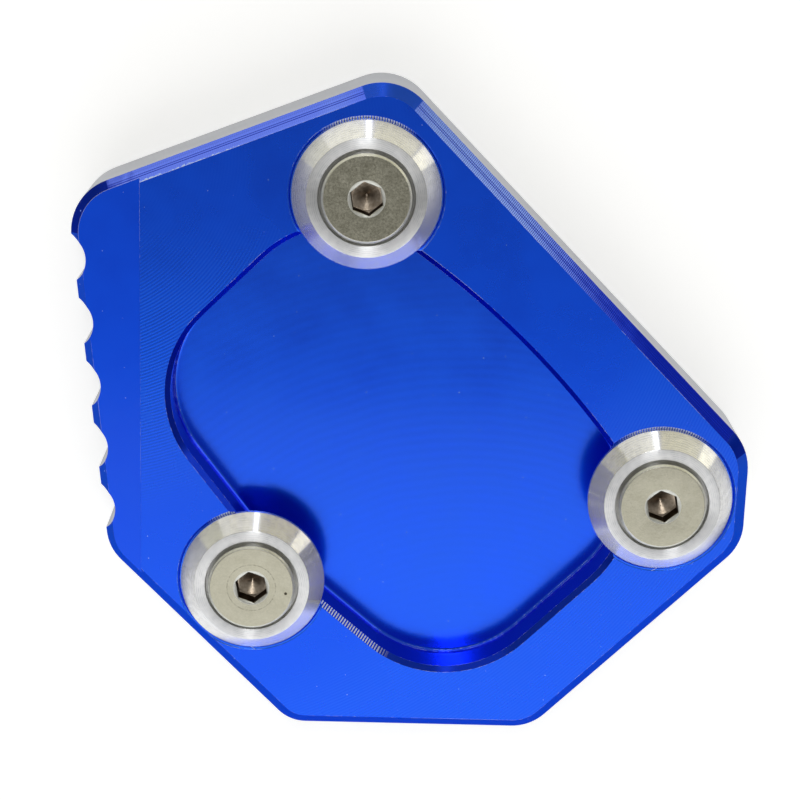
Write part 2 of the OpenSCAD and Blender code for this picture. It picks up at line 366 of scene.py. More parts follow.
# %% The long chamfers
def make_chamfer_finish():
    """Chamfers with a painted highlight, lines along the edge, ticks across it and crumbs of burr."""
    material, tree, place = start_finish("anodised_chamfer_painted_highlight")
    across = add_node(tree, "SeparateXYZ", {0: place}).outputs["X"]
    run = add_node(tree, "UVMap", uv_map="edge_run").outputs["UV"]
    height = add_node(tree, "SeparateXYZ", {0: run}).outputs["Y"]
    band = add_node(tree, "MapRange", {
        "Value": height, "From Min": PLATE_TOP - CHAMFER_DEPTH, "From Max": PLATE_TOP,
    }).outputs["Result"]
    lines = add_lines(tree, band)
    ticks = add_ticks(tree, run, across)
    bright = add_node(tree, "Math", {0: lines, 1: ticks}, operation="SUBTRACT").outputs[0]
    whole = add_highlight_fade(tree, run, across)
    share = add_node(tree, "Math", {0: bright, 1: whole}, operation="MULTIPLY", use_clamp=True).outputs[0]
    # The pale blue here is a painted highlight, and the navy is where it fades.
    plain = add_node(tree, "Mix", {
        0: share, 6: linear("#071c98"), 7: add_highlight_blue(tree, across),
    }, data_type="RGBA").outputs[2]
    burr = add_burr(tree, place, band, across)
    colour = add_node(tree, "Mix", {0: burr, 6: plain, 7: linear("#b6ccff")}, data_type="RGBA")
    shine = add_node(tree, "Math", {0: burr, 1: -0.5, 2: 1.0}, operation="MULTIPLY_ADD").outputs[0]
    marks = add_node(tree, "Math", {0: lines, 1: ticks}, operation="ADD").outputs[0]
    relief = add_node(tree, "Bump", {"Height": marks, "Distance": 0.01 * MM}).outputs[0]
    metal = add_node(tree, "BsdfPrincipled", {
        "Base Color": colour.outputs[2], "Metallic": shine, "Roughness": 0.24, "Normal": relief, **THIN_COAT,
    })
    add_node(tree, "OutputMaterial", {"Surface": metal.outputs[0]})
    return material


print("stops in the chamfer's lines:", len(CHAMFER_LINES))

# %% [markdown]
# The rim round the pocket and the washers' seats were cut last of all. The cutter
# chattered on the pocket's rim, and each jump left a pale tick where the dye is missing. On
# the seats, the pale ticks near the north side are painted glints, and the lighter blue is
# painted light over the shade of the gap round each washer. The UV map counts metres round
# each seat from its north side, so the ticks stand like rays.

# %% Rims with chatter marks
def make_rim_finish(name, colours, pitch, gap, reach, middle=None):
    """Blue with pale ticks within reach of a place, or of the UV map's start if none is given."""
    material, tree, place = start_finish(name)
    along = add_node(tree, "UVMap", uv_map="edge_run").outputs["UV"]
    run = add_node(tree, "SeparateXYZ", {0: along}).outputs["X"]
    if middle:
        distance = add_node(tree, "VectorMath", {0: place, 1: middle}, operation="DISTANCE").outputs["Value"]
    else:
        distance = add_node(tree, "Math", {0: run}, operation="ABSOLUTE").outputs[0]
    within = add_node(tree, "MapRange", {
        "Value": distance, "From Min": reach, "From Max": reach * 0.6,
    }).outputs["Result"]
    ticks = add_node(tree, "TexWave", {
        "Vector": along, "Scale": WAVE_UNIT / pitch, "Distortion": 0.4, "Detail": 2,
    }, wave_type="BANDS", bands_direction="X").outputs["Fac"]
    sharp = add_node(tree, "MapRange", {
        "Value": ticks, "From Min": gap, "From Max": gap + 0.35,
    }).outputs["Result"]
    share = add_node(tree, "Math", {0: sharp, 1: within}, operation="MULTIPLY").outputs[0]
    _, plain = add_patches(tree, place, 3 * MM, colours, 4)
    colour = add_node(tree, "Mix", {0: share, 6: plain, 7: linear("#e6ecff")}, data_type="RGBA")
    shine = add_node(tree, "MapRange", {"Value": share, "To Min": 1, "To Max": 0}).outputs["Result"]
    rough = add_node(tree, "MapRange", {"Value": share, "To Min": 0.22, "To Max": 0.5}).outputs["Result"]
    metal = add_node(tree, "BsdfPrincipled", {
        "Base Color": colour.outputs[2], "Metallic": shine, "Roughness": rough, **THIN_COAT,
    })
    add_node(tree, "OutputMaterial", {"Surface": metal.outputs[0]})
    return material

# %% [markdown]
# The pocket was milled with a small cutter. Its floor is the glossiest blue surface, with
# very faint overlapping arcs, and its wall has upright marks.

# %% The pocket
FLOOR_ARC_PITCH = 1.3 * MM
FLOOR_ARC_CENTRE = (9 * MM, -52 * MM, 0)


def make_floor_finish():
    """Semi-gloss blue with the faint arcs of a small end mill, and a little dust."""
    material, tree, place = start_finish("anodised_pocket_floor")
    swing = add_node(tree, "VectorMath", {0: place, 1: FLOOR_ARC_CENTRE}, operation="SUBTRACT").outputs[0]
    arcs = add_node(tree, "TexWave", {
        "Vector": swing, "Scale": WAVE_UNIT / FLOOR_ARC_PITCH, "Distortion": 2.5, "Detail": 2,
        "Detail Scale": 0.4,
    }, wave_type="RINGS", rings_direction="Z").outputs["Fac"]
    patches, plain = add_patches(tree, place, 8 * MM, ("#1054f4", "#1962fa"), 6, 0.62)
    dust = add_dust(tree, place, 3.2 * MM)
    colour = add_node(tree, "Mix", {0: dust, 6: plain, 7: linear(DUST_COLOUR)}, data_type="RGBA")
    rough = add_node(tree, "MapRange", {
        "Value": patches, "From Min": 0.3, "From Max": 0.7, "To Min": 0.2, "To Max": 0.27,
    }).outputs["Result"]
    height = add_node(tree, "Math", {0: arcs, 1: 0.13, 2: patches}, operation="MULTIPLY_ADD").outputs[0]
    relief = add_node(tree, "Bump", {"Height": height, "Distance": 0.01 * MM}).outputs[0]
    metal = add_node(tree, "BsdfPrincipled", {
        "Base Color": colour.outputs[2], "Metallic": 1, "Roughness": rough, "Normal": relief, **COAT,
    })
    add_node(tree, "OutputMaterial", {"Surface": metal.outputs[0]})
    return material


def make_wall_finish():
    """The pocket's wall: end-milled, glossy and deep in colour."""
    material, tree, place = start_finish("anodised_pocket_wall")
    stretched = add_node(tree, "VectorMath", {0: place, 1: (1, 1, 0.1)}, operation="MULTIPLY").outputs[0]
    marks, colour = add_patches(tree, stretched, 0.5 * MM, ("#0d38ee", "#1d4cf8"), 4)
    relief = add_node(tree, "Bump", {"Height": marks, "Distance": 0.008 * MM}).outputs[0]
    metal = add_node(tree, "BsdfPrincipled", {
        "Base Color": colour, "Metallic": 1, "Roughness": 0.2, "Normal": relief, **COAT,
    })
    add_node(tree, "OutputMaterial", {"Surface": metal.outputs[0]})
    return material

# %% [markdown]
# Every sharp edge is burnished a little. The dye is thin there and torn in places, so the
# bevel's narrow faces get their own finish: mostly the blue of the faces, with pale bits.
# The cutter left a ragged burr at the upper left, so there the pale bits are dense. Five
# small pale spots on the edges are painted glints.

# %% Worn edges, and painted glints
GLINT_PLACES = ((24.4, 18.9), (27.9, 13.1), (6.4, -34.9), (11.9, -36.6), (-29.6, 14))
GLINTS = [(x * MM, y * MM, 0) for x, y in GLINT_PLACES]
GLINT_REACH = 0.4 * MM


def make_edge_finish():
    """Burnished edges with torn pale bits of about half a millimetre, and five painted glints."""
    material, tree, place = start_finish("anodised_worn_edge_and_glints")
    bits = add_node(tree, "TexNoise", {
        "Vector": place, "Scale": 1 / (0.7 * MM), "Detail": 3, "Roughness": 0.7,
    }).outputs["Fac"]
    areas = add_node(tree, "TexNoise", {"Vector": place, "Scale": 1 / (16 * MM)}).outputs["Fac"]
    parts = add_node(tree, "SeparateXYZ", {0: place}).outputs
    left = add_node(tree, "MapRange", {
        "Value": parts["X"], "From Min": -18 * MM, "From Max": -26 * MM, "To Max": 0.3,
    }).outputs["Result"]
    upper = add_node(tree, "MapRange", {
        "Value": parts["Y"], "From Min": 17 * MM, "From Max": 27 * MM,
    }).outputs["Result"]
    burred = add_node(tree, "Math", {0: left, 1: upper, 2: areas}, operation="MULTIPLY_ADD").outputs[0]
    both = add_node(tree, "Math", {0: bits, 1: burred}, operation="ADD").outputs[0]
    torn = add_node(tree, "MapRange", {"Value": both, "From Min": 1.0, "From Max": 1.2}).outputs["Result"]
    level = add_node(tree, "VectorMath", {0: place, 1: (1, 1, 0)}, operation="MULTIPLY").outputs[0]
    # Painted glints: pale bare spots at five listed places on the edges.
    for glint in GLINTS:
        gap = add_node(tree, "VectorMath", {0: level, 1: glint}, operation="DISTANCE").outputs["Value"]
        near = add_node(tree, "Math", {0: gap, 1: GLINT_REACH}, operation="LESS_THAN").outputs[0]
        torn = add_node(tree, "Math", {0: torn, 1: near}, operation="MAXIMUM").outputs[0]
    shine = add_node(tree, "Math", {0: 1.0, 1: torn}, operation="SUBTRACT").outputs[0]
    colour = add_node(tree, "Mix", {0: torn, 6: linear("#1c54f0"), 7: linear("#e2eaff")}, data_type="RGBA")
    metal = add_node(tree, "BsdfPrincipled", {
        "Base Color": colour.outputs[2], "Metallic": shine, "Roughness": 0.3, **COAT,
    })
    add_node(tree, "OutputMaterial", {"Surface": metal.outputs[0]})
    return material

# %% [markdown]
# ## Bare grey sides
# The sides and the underside were cut at another time and carry no dye. They have a dull
# silver grey with a fine blasted grain, so roughness is high and the relief is fine.

# %% The finish of the sides and the underside
def make_side_finish():
    """Matt silver grey aluminium with a blasted grain."""
    material, tree, place = start_finish("blasted_aluminium_sides")
    _, colour = add_patches(tree, place, 5 * MM, ("#aeb0b7", "#bec0c6"), 5)
    grain = add_node(tree, "TexNoise", {"Vector": place, "Scale": 1 / (0.2 * MM), "Detail": 3}).outputs["Fac"]
    relief = add_node(tree, "Bump", {"Height": grain, "Distance": 0.008 * MM}).outputs[0]
    metal = add_node(tree, "BsdfPrincipled", {
        "Base Color": colour, "Metallic": 1, "Roughness": 0.55, "Normal": relief,
    })
    add_node(tree, "OutputMaterial", {"Surface": metal.outputs[0]})
    return material

# %% [markdown]
# ## The plate
# The solid in the frame has the right shape, but its edges are mathematically sharp and
# real ones never are. A copy of it is merged, its flat faces are joined, and a bevel of a
# tenth of a millimetre catches the light along every edge. The copy then stands for the
# solid.

# %% Helpers for shaping pieces
def deselect_all():
    bpy.ops.object.select_all(action="DESELECT")


def pick(piece):
    """Makes one object the only selected and the active one."""
    deselect_all()
    piece.select_set(True)
    bpy.context.view_layer.objects.active = piece


def apply_modifier(piece, kind, **settings):
    """Adds a modifier, sets it, and applies it to the mesh."""
    pick(piece)
    modifier = piece.modifiers.new(kind.lower(), kind)
    for key, value in settings.items():
        setattr(modifier, key, value)
    bpy.ops.object.modifier_apply(modifier=modifier.name)


def soften_edges(piece, width, fold, **settings):
    """Rounds edges that fold by more than an angle, and keeps large faces flat in the light."""
    pick(piece)
    bpy.ops.object.shade_smooth()
    apply_modifier(
        piece, "BEVEL", width=width, segments=2, limit_method="ANGLE",
        angle_limit=math.radians(fold), **settings)
    apply_modifier(piece, "WEIGHTED_NORMAL", mode="FACE_AREA", weight=100, keep_sharp=False)


def give_finishes(piece, finishes, finish_of):
    """Hands a piece its finishes, and each face the one whose number finish_of gives."""
    for finish in finishes:
        piece.data.materials.append(finish)
    for face in piece.data.polygons:
        face.material_index = finish_of(face)
    for number, finish in enumerate(finishes):
        print(finish.name, sum(face.material_index == number for face in piece.data.polygons))

# %% Copy the solid
def copy_of_node(node, name):
    """A merged copy of a solid of the frame, as a piece of its own."""
    pick(frame["nodes"][node])
    bpy.ops.object.duplicate()
    piece = bpy.context.active_object
    piece.name = piece.data.name = name
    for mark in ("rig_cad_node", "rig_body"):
        del piece[mark]
    piece.parent = None
    piece.data.materials.clear()
    bpy.ops.object.mode_set(mode="EDIT")
    bpy.ops.mesh.select_all(action="SELECT")
    bpy.ops.mesh.remove_doubles(threshold=0.002 * MM)
    bpy.ops.mesh.dissolve_limited(angle_limit=math.radians(0.3))
    bpy.ops.object.mode_set(mode="OBJECT")
    return piece


plate = copy_of_node("plate", "milled_plate")
print("plate faces after merging:", len(plate.data.polygons))

# %% [markdown]
# A face takes its finish from its height, from which way it looks, and from whether it
# belongs to a washer's seat. The seats lie under the screws, whose places come from the
# frame. A level face has a normal that points almost straight up, and a chamfer's normal
# leans.

# %% Where a face lies and looks
POCKET_FLOOR = PLATE_TOP - 6 * MM
SEAT_REACH = 10.7 * MM
SEAT_LOWEST = POCKET_FLOOR + 1 * MM
LEVEL = 0.9
LEANING = 0.3
DOWNWARDS = -0.1


def centre_of(node):
    """The middle of a node's box, as a point at ground level."""
    low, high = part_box(node)
    return mathutils.Vector(((low.x + high.x) / 2, (low.y + high.y) / 2, 0))


screw_places = {key: centre_of(f"clamp_screw_{key}") for key in ("top", "right", "left")}


def seat_round(point):
    """The centre of the washer seat that a point belongs to, or None."""
    flat = mathutils.Vector((point.x, point.y, 0))
    return next((place for place in screw_places.values() if (flat - place).length < SEAT_REACH), None)


def cut_with_seat(face):
    """Whether a face belongs to a washer seat: it is level, or looks at the seat's middle."""
    seat = seat_round(face.center)
    if seat is None or face.center.z < SEAT_LOWEST:
        return False
    arm = (seat - face.center).to_2d().normalized()
    return face.normal.z > LEVEL or arm.dot(face.normal.to_2d().normalized()) > LEVEL


def faces_outwards(face):
    """Whether a side face looks away from the plate's middle, as an outer wall does."""
    return face.normal.x * face.center.x + face.normal.y * face.center.y > 0


def looks_towards(face, facing, slack):
    """Whether a side face looks in a direction, in degrees from +X, give or take slack."""
    return abs(math.degrees(math.atan2(face.normal.y, face.normal.x)) - facing) < slack


print("screws, mm:", {key: tuple(round(value / MM, 2) for value in place.xy)
                      for key, place in screw_places.items()})

# %% [markdown]
# The plate has eleven finishes. They are made in one list, and a finish's number in it is
# the number that a face keeps.

# %% The plate's finishes
CHATTER_PLACE = (-8.5 * MM, -29.6 * MM, PLATE_TOP)
FINISHES = [
    make_face_finish(),
    make_smooth_finish(
        "anodised_smooth_ledge", ("#074ef2", "#0d58f8"), roughness=0.3, blotch=6 * MM),
    make_chamfer_finish(),
    make_smooth_finish(
        "anodised_round_chamfer", ("#1c44b8", "#244ec8"), roughness=0.26, blotch=4 * MM, coat=THIN_COAT),
    # The navy of the chamfers at the far corners is painted shade.
    make_smooth_finish(
        "anodised_chamfer_painted_shade", ("#061a7c", "#0a2490"), roughness=0.26, blotch=4 * MM, coat=THIN_COAT),
    make_wall_finish(),
    make_floor_finish(),
    make_rim_finish(
        "anodised_pocket_rim", ("#0a28b0", "#1030bc"),
        pitch=0.42 * MM, gap=0.5, reach=8 * MM, middle=CHATTER_PLACE),
    # On the seats the lighter blue is painted light, and the pale ticks near the north side are painted
    # glints.
    make_rim_finish(
        "anodised_washer_seat_painted_light", ("#3070ff", "#3c7cff"), pitch=0.36 * MM, gap=0.15, reach=7 * MM),
    make_side_finish(),
    make_edge_finish(),
]
FACE, LEDGE, LONG_CHAMFER, ROUND_CHAMFER, SHADED_CHAMFER, WALL, FLOOR, RIM, SEAT, SIDE, EDGE = (
    range(len(FINISHES)))
print("finishes of the plate:", len(FINISHES))

# %% [markdown]
# Faces that look up go by their height: the top face, then the ledge and the seats, then
# the pocket's floor. Faces that look outwards are sides or chamfers, and what is left is
# the pocket's wall and rim. The finishes go on before the bevel, so that the bevel can
# give its own narrow faces the worn finish of an edge.

# %% Give each face its finish
FACE_LOWEST = PLATE_TOP - 0.2 * MM
SEAT_WALL_LOWEST = PLATE_TOP - 0.6 * MM
RIM_LOWEST = PLATE_TOP - 1 * MM
LEDGE_LOWEST = PLATE_TOP - 3 * MM
WALL_LOWEST = POCKET_FLOOR - 0.1 * MM
LONG_CHAMFER_FACINGS = ((45, 1), (111.8, 1))
SHADED_CORNER_FACINGS = ((147, 34), (33, 11))
SHADED_CORNER_X = 30 * MM
SCALLOP_REACH = 44 * MM


def looks_one_way(face, facings):
    """Whether a side face looks in one of some directions, each with its slack."""
    return any(looks_towards(face, facing, slack) for facing, slack in facings)


def outer_finish_of(face):
    """Which finish a face has that looks outwards: a side or a kind of chamfer."""
    if face.normal.z <= LEANING:
        return SIDE
    if looks_one_way(face, LONG_CHAMFER_FACINGS):
        return LONG_CHAMFER
    # Chamfers at the far corners that look these ways get a navy painted shade.
    at_corner = looks_one_way(face, SHADED_CORNER_FACINGS) and abs(face.center.x) > SHADED_CORNER_X
    return SHADED_CHAMFER if at_corner else ROUND_CHAMFER


def plate_finish_of(face):
    """Which finish a face of the plate has."""
    up, height = face.normal.z, face.center.z
    in_seat = cut_with_seat(face)
    if up > LEVEL:
        if height > FACE_LOWEST:
            return FACE
        if height > LEDGE_LOWEST:
            return SEAT if in_seat else LEDGE
        return FLOOR
    if up < DOWNWARDS or height < WALL_LOWEST:
        return SIDE
    if in_seat and height > SEAT_WALL_LOWEST:
        return SEAT
    if faces_outwards(face):
        return outer_finish_of(face)
    if face.center.length > SCALLOP_REACH:
        return SIDE
    return RIM if up > LEANING and height > RIM_LOWEST else WALL


give_finishes(plate, FINISHES, plate_finish_of)
soften_edges(plate, width=0.1 * MM, fold=28, material=EDGE)
print("plate faces after the bevel:", len(plate.data.polygons))

# %% [markdown]
# Lines that follow an edge need to know how far along the edge they are. A UV map holds
# that: across each steep face, U runs level along it and V is its height. Round a seat,
# U is the length of the arc from its north side.

# %% Map the runs along the edges
edge_run = plate.data.uv_layers.new(name="edge_run")
for face in plate.data.polygons:
    level = mathutils.Vector((-face.normal.y, face.normal.x, 0))
    steep = level.length > 0.1
    level.normalize()
    seat = seat_round(face.center) if face.material_index == SEAT else None
    for corner in face.loop_indices:
        place = plate.data.vertices[plate.data.loops[corner].vertex_index].co
        if seat:
            arm = place - seat
            run = math.atan2(arm.x, arm.y) * math.hypot(arm.x, arm.y)
            edge_run.data[corner].uv = (run, place.z)
        else:
            run = place.dot(level)
            edge_run.data[corner].uv = (run, place.z) if steep else (place.x, place.y)

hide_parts("plate")
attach(plate, BODY)

# %% [markdown]
# ## Turned parts
# Washers and screws are turned on a lathe, so each is a stack of rings. A circle is added,
# and extruded ring by ring along the outline that the lathe's tool follows, each ring
# scaled to its radius. That is how one would do it by hand, and it keeps the rings even.

# %% Build a turned part ring by ring
ROUND_STEPS = 144


def next_ring(radius_now, height_now, radius, height):
    """Extrudes the selected ring to another radius and height."""
    bpy.ops.mesh.extrude_edges_move(
        TRANSFORM_OT_translate={"value": (0, 0, height - height_now)})
    share = radius / radius_now
    bpy.ops.transform.resize(value=(share, share, 1), center_override=(0, 0, height))


def turned(name, outline, closed):
    """A turned part about Z from its outline, a list of (radius, height)."""
    deselect_all()
    first_radius, first_height = outline[0]
    bpy.ops.mesh.primitive_circle_add(vertices=ROUND_STEPS, radius=first_radius)
    piece = bpy.context.active_object
    piece.name = piece.data.name = name
    bpy.ops.object.mode_set(mode="EDIT")
    bpy.ops.mesh.select_mode(type="EDGE")
    bpy.ops.mesh.select_all(action="SELECT")
    bpy.ops.transform.translate(value=(0, 0, first_height))
    if not closed:
        bpy.ops.mesh.edge_face_add()
    for (radius_now, height_now), (radius, height) in zip(outline, outline[1:]):
        next_ring(radius_now, height_now, radius, height)
    if closed:
        bpy.ops.mesh.select_all(action="DESELECT")
        bpy.ops.mesh.select_non_manifold(extend=False)
        bpy.ops.mesh.bridge_edge_loops()
    else:
        bpy.ops.mesh.edge_face_add()
    bpy.ops.mesh.select_all(action="SELECT")
    bpy.ops.mesh.normals_make_consistent(inside=False)
    bpy.ops.object.mode_set(mode="OBJECT")
    return piece

# %% [markdown]
# ## Turned aluminium
# The washers are bare aluminium, turned with a fine feed. The grooves run round the part,
# so each point spreads its reflection out along the radius and keeps it sharp round the
# ring, which the anisotropic setting gives. The grooves are a tenth of a millimetre apart,
# too fine to show, so they are drawn over twice as coarse. They read a UV map that holds
# the run round the ring and the radius.

# %% The washers' finish
GROOVE_PITCH = 0.25 * MM


def make_turned_finish(name, colours, roughness, scuff):
    """Bright turned aluminium with faint scuffs of that depth."""
    material, tree, place = start_finish(name)
    patches = add_node(tree, "TexNoise", {
        "Vector": place, "Scale": 1 / (0.8 * MM), "Detail": 5, "Roughness": 0.65,
    }).outputs["Fac"]
    turning = add_node(tree, "UVMap", uv_map="turning").outputs["UV"]
    grooves = add_node(tree, "TexWave", {
        "Vector": turning, "Scale": WAVE_UNIT / GROOVE_PITCH, "Distortion": 3, "Detail": 3,
        "Detail Scale": 0.2,
    }, wave_type="BANDS", bands_direction="Y").outputs["Fac"]
    worn = add_node(tree, "MapRange", {
        "Value": patches, "From Min": 0.35, "From Max": 0.65,
    }).outputs["Result"]
    shown = add_node(tree, "Math", {0: grooves, 1: worn}, operation="MULTIPLY").outputs[0]
    colour = add_node(tree, "Mix", {
        0: shown, 6: linear(colours[1]), 7: linear(colours[0]),
    }, data_type="RGBA")
    rough = add_node(tree, "MapRange", {
        "Value": patches, "From Min": 0.3, "From Max": 0.7, "To Min": roughness, "To Max": roughness + 0.04,
    }).outputs["Result"]
    tangent = add_node(tree, "Tangent", direction_type="RADIAL", axis="Z").outputs[0]
    relief = add_node(tree, "Bump", {"Height": patches, "Distance": scuff}).outputs[0]
    metal = add_node(tree, "BsdfPrincipled", {
        "Base Color": colour.outputs[2], "Metallic": 1, "Roughness": rough, "Anisotropic": 1,
        "Anisotropic Rotation": 0.25, "Tangent": tangent, "Normal": relief,
    })
    add_node(tree, "OutputMaterial", {"Surface": metal.outputs[0]})
    return material

# %% [markdown]
# ## Plated steel
# The screws are plated steel, cold formed, a little warm in colour and slightly blotched.
# The top one has darker olive specks all over, and the left one has a faint ring mark and a
# pit. All three share one material, which finds each mark by the distance from its place.

# %% The screws' finish
HEAD_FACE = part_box("clamp_screw_top")[1].z
DARK_SPECKS_PLACE = (*screw_places["top"].xy, HEAD_FACE)
MARKED_PLACE = (*screw_places["left"].xy, HEAD_FACE)
MARK_RADIUS = 3.35 * MM
MARK_SLACK = 0.07 * MM
PIT_PLACE = (-16.9 * MM, -24.4 * MM, HEAD_FACE)
PIT_RADIUS = 0.2 * MM


def make_screw_finish():
    """Warm grey plated steel, with darker olive specks on the top screw, a ring mark and a pit on the left
    one.
    """
    material, tree, place = start_finish("plated_steel")
    patches, plain = add_patches(tree, place, 1.6 * MM, ("#a3a08c", "#cfccba"), 8, 0.65)
    grit = add_node(tree, "TexNoise", {
        "Vector": place, "Scale": 1 / (0.3 * MM), "Detail": 5, "Roughness": 0.7,
    }).outputs["Fac"]
    from_top = add_node(tree, "VectorMath", {0: place, 1: DARK_SPECKS_PLACE}, operation="DISTANCE").outputs["Value"]
    dull = add_node(tree, "MapRange", {
        "Value": from_top, "From Min": 10 * MM, "From Max": 7 * MM, "To Min": 0.15,
    }).outputs["Result"]
    specks = add_node(tree, "MapRange", {
        "Value": grit, "From Min": 0.4, "From Max": 0.7, "To Max": 0.7,
    }).outputs["Result"]
    mottle = add_node(tree, "Math", {0: specks, 1: dull}, operation="MULTIPLY").outputs[0]
    mottled = add_node(tree, "Mix", {0: mottle, 6: plain, 7: linear("#6c6954")}, data_type="RGBA")
    from_left = add_node(tree, "VectorMath", {
        0: place, 1: MARKED_PLACE,
    }, operation="DISTANCE").outputs["Value"]
    mark = add_node(tree, "Math", {
        0: from_left, 1: MARK_RADIUS, 2: MARK_SLACK,
    }, operation="COMPARE").outputs[0]
    faint = add_node(tree, "Math", {0: mark, 1: specks}, operation="MULTIPLY").outputs[0]
    marked = add_node(tree, "Mix", {0: faint, 6: mottled.outputs[2], 7: linear("#58543f")}, data_type="RGBA")
    gap = add_node(tree, "VectorMath", {0: place, 1: PIT_PLACE}, operation="DISTANCE").outputs["Value"]
    pit = add_node(tree, "Math", {0: gap, 1: PIT_RADIUS}, operation="LESS_THAN").outputs[0]
    colour = add_node(tree, "Mix", {0: pit, 6: marked.outputs[2], 7: linear("#3a3426")}, data_type="RGBA")
    rough = add_node(tree, "MapRange", {
        "Value": patches, "From Min": 0.3, "From Max": 0.7, "To Min": 0.2, "To Max": 0.27,
    }).outputs["Result"]
    dents = add_node(tree, "TexNoise", {
        "Vector": place, "Scale": 1 / (0.35 * MM), "Detail": 4,
    }).outputs["Fac"]
    relief = add_node(tree, "Bump", {"Height": dents, "Distance": 0.006 * MM}).outputs[0]
    metal = add_node(tree, "BsdfPrincipled", {
        "Base Color": colour.outputs[2], "Metallic": 1, "Roughness": rough, "Normal": relief,
    })
    add_node(tree, "OutputMaterial", {"Surface": metal.outputs[0]})
    return material

# %% [markdown]
# The walls of the sockets are painted dark brown as shade, and their drilled floors and the
# land round each head are painted brighter as highlight. These steel faces differ only in
# their colours and roughness, so one function makes all three.

# %% Painted shade and highlight on the screws, and the lists of finishes
def make_painted_steel_finish(name, colours, roughness):
    """Plain steel with blotches of half a millimetre, in colours that paint its shade and highlights."""
    material, tree, place = start_finish(name)
    painted_tone, colour = add_patches(tree, place, 0.5 * MM, colours, 6)
    relief = add_node(tree, "Bump", {"Height": painted_tone, "Distance": 0.02 * MM}).outputs[0]
    metal = add_node(tree, "BsdfPrincipled", {
        "Base Color": colour, "Metallic": 1, "Roughness": roughness, "Normal": relief,
    })
    add_node(tree, "OutputMaterial", {"Surface": metal.outputs[0]})
    return material


WASHER_FINISHES = [
    make_turned_finish(
        "turned_aluminium_bevel", ("#dadad8", "#eeeeee"), roughness=0.21, scuff=0.0008 * MM),
    make_turned_finish(
        "turned_aluminium_ring", ("#dcdee0", "#f8f8f8"), roughness=0.34, scuff=0.008 * MM),
]
SCREW_FINISHES = [
    make_screw_finish(),
    # The socket walls get painted shade, and the socket floors and the land get a painted highlight.
    make_painted_steel_finish("socket_wall_painted_shade", ("#1e1610", "#5c4c3e"), roughness=0.3),
    make_painted_steel_finish("socket_floor_painted_highlight", ("#7a6650", "#dccfbc"), roughness=0.3),
    make_painted_steel_finish("land_painted_highlight", ("#b8b8ae", "#e2e2da"), roughness=0.4),
]
BEVEL, RING = range(len(WASHER_FINISHES))
PLATED, SOCKET_WALL, SOCKET_FLOOR, LAND = range(len(SCREW_FINISHES))
print("finishes of the clamps:", ", ".join(finish.name for finish in WASHER_FINISHES + SCREW_FINISHES))

# %% [markdown]
# ## The washers
# The outline goes round the washer's section: up the lip, along the bevel to the flat
# ring, down into the recess round the screw's head, and down the cone that the head
# presses on. All three are alike, so one is modelled and the others are copies.

# %% Model the washer
washer_low, washer_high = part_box("clamp_washer_top")
WASHER_RADIUS = (washer_high.x - washer_low.x) / 2
WASHER_FOOT = washer_low.z
WASHER_HEIGHT = washer_high.z - washer_low.z
WASHER_LIP = 0.6 * MM
WASHER_FLAT = 7.95 * MM
RECESS_RADIUS = 6.45 * MM
RECESS_DEPTH = 1 * MM
WASHER_HOLE = 3.2 * MM
HOLE_LAND = 0.35 * MM

recess_height = WASHER_HEIGHT - RECESS_DEPTH
washer_outline = [
    (WASHER_HOLE, 0),
    (WASHER_RADIUS, 0),
    (WASHER_RADIUS, WASHER_LIP),
    (WASHER_FLAT, WASHER_HEIGHT),
    (RECESS_RADIUS, WASHER_HEIGHT),
    (RECESS_RADIUS, recess_height),
    (WASHER_HOLE + recess_height - HOLE_LAND, recess_height),
    (WASHER_HOLE, HOLE_LAND),
]


def washer_finish_of(face):
    """Which finish a face of the washer has: the bevel and lip differ from the rest."""
    return RING if math.hypot(face.center.x, face.center.y) < WASHER_FLAT else BEVEL


washer = turned("washer", washer_outline, closed=True)
soften_edges(washer, width=0.07 * MM, fold=25)
give_finishes(washer, WASHER_FINISHES, washer_finish_of)
turning = washer.data.uv_layers.new(name="turning")
for corner, loop in enumerate(washer.data.loops):
    x, y, height = washer.data.vertices[loop.vertex_index].co
    radius = math.hypot(x, y)
    turning.data[corner].uv = (math.atan2(x, y) * radius, radius)
print("washer faces:", len(washer.data.polygons))

# %% [markdown]
# ## The screws
# The outline starts at the tip and goes up the shank, the head's cone and its land, over
# the face and down into the socket. The socket's rings are first round, and then each
# point moves out to the hexagon, which the steps round the ring fit. The thread is a
# helix pressed into the shank's rings in the same way.

# %% The outline of the screw
screw_low, screw_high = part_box("clamp_screw_top")
HEAD_RADIUS = (screw_high.x - screw_low.x) / 2
SCREW_TIP = screw_low.z
SCREW_LENGTH = screw_high.z - screw_low.z
SCREW_RADIUS = 3 * MM
HEAD_LAND = 0.5 * MM
HEAD_EDGE = 0.3 * MM
TIP_CHAMFER = 0.8 * MM
SOCKET_WIDTH = 4 * MM
SOCKET_DEPTH = 2.4 * MM
SOCKET_TURN = math.radians(40)
SOCKET_ROUND = 2.15 * MM
MOUTH_RADIUS = 2.5 * MM
MOUTH_DEPTH = 0.2 * MM
MOUTH_SLOPE = 0.4
DRILL_RADIUS = 1.85 * MM
DRILL_SLOPE = math.tan(math.radians(30))
DRILL_TIP = 0.1 * MM
THREAD_PITCH = 1 * MM
THREAD_DEPTH = 0.5 * MM
RINGS_PER_TURN = 8

